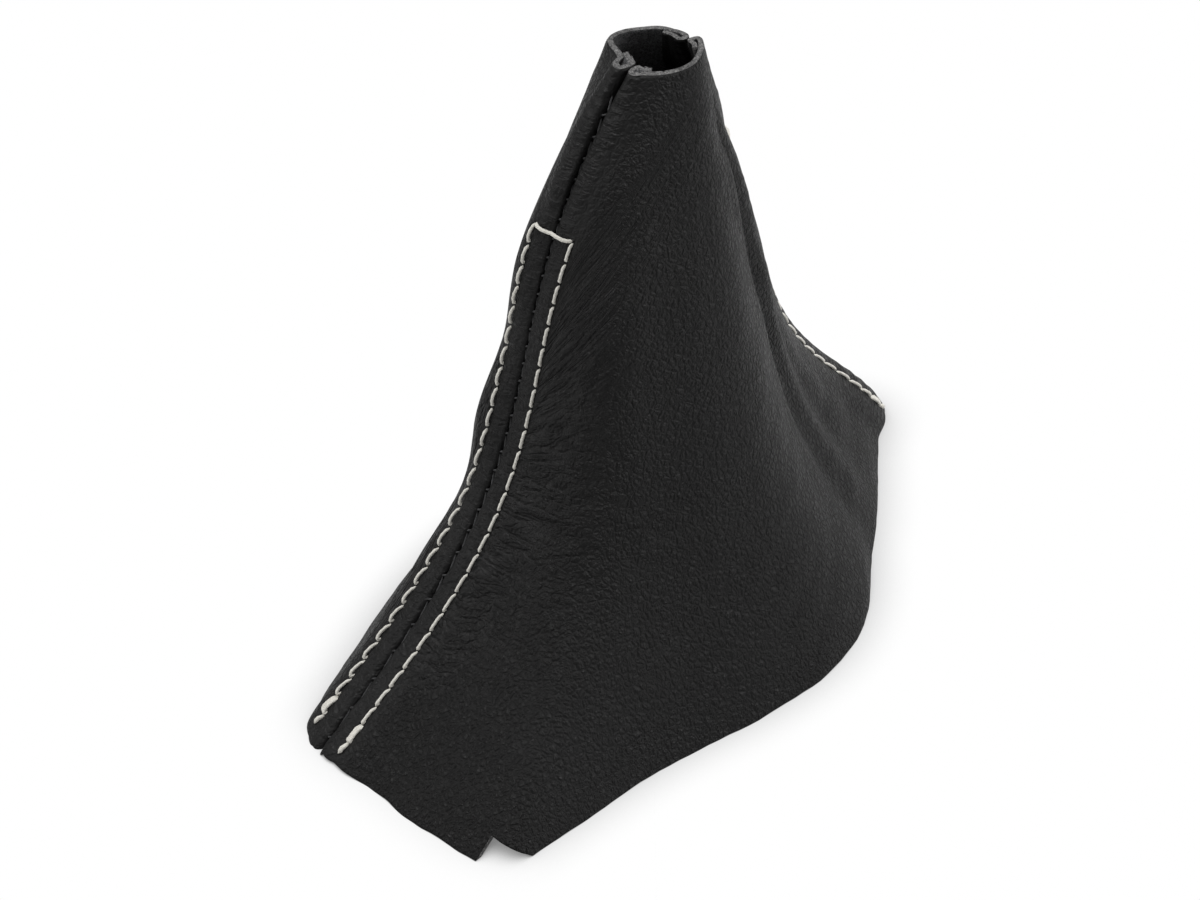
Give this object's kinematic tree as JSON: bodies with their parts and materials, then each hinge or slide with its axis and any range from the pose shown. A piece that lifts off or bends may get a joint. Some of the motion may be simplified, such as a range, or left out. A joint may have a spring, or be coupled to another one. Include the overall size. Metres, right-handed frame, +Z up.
{
  "type": "gear lever gaiter",
  "caption": "Soft leather sleeve that flares from a small round neck to a wide open base, sewn from two panels along edge seams, to cover the foot of a gear lever.",
  "frame": {"origin": "the middle of the footprint, on the surface that the base edge stands on", "axes": "+X runs along the base from the front seam to the tail seam, +Y from the main panel to the rear panel, +Z up through the neck"},
  "size_m": [0.203, 0.1064, 0.147],
  "materials": {
    "leather": "pebble grain, satin, suede inside",
    "white_thread": "matt polyester thread",
    "black_thread": "matt polyester thread"
  },
  "bodies": {
    "root": {"main_panel": "leather", "rear_panel": "leather", "front_top_thread": "white_thread", "tail_top_thread": "white_thread", "front_under_thread": "black_thread", "tail_under_thread": "black_thread", "front_seam_thread": "black_thread", "tail_seam_thread": "black_thread"}
  },
  "joints": []
}
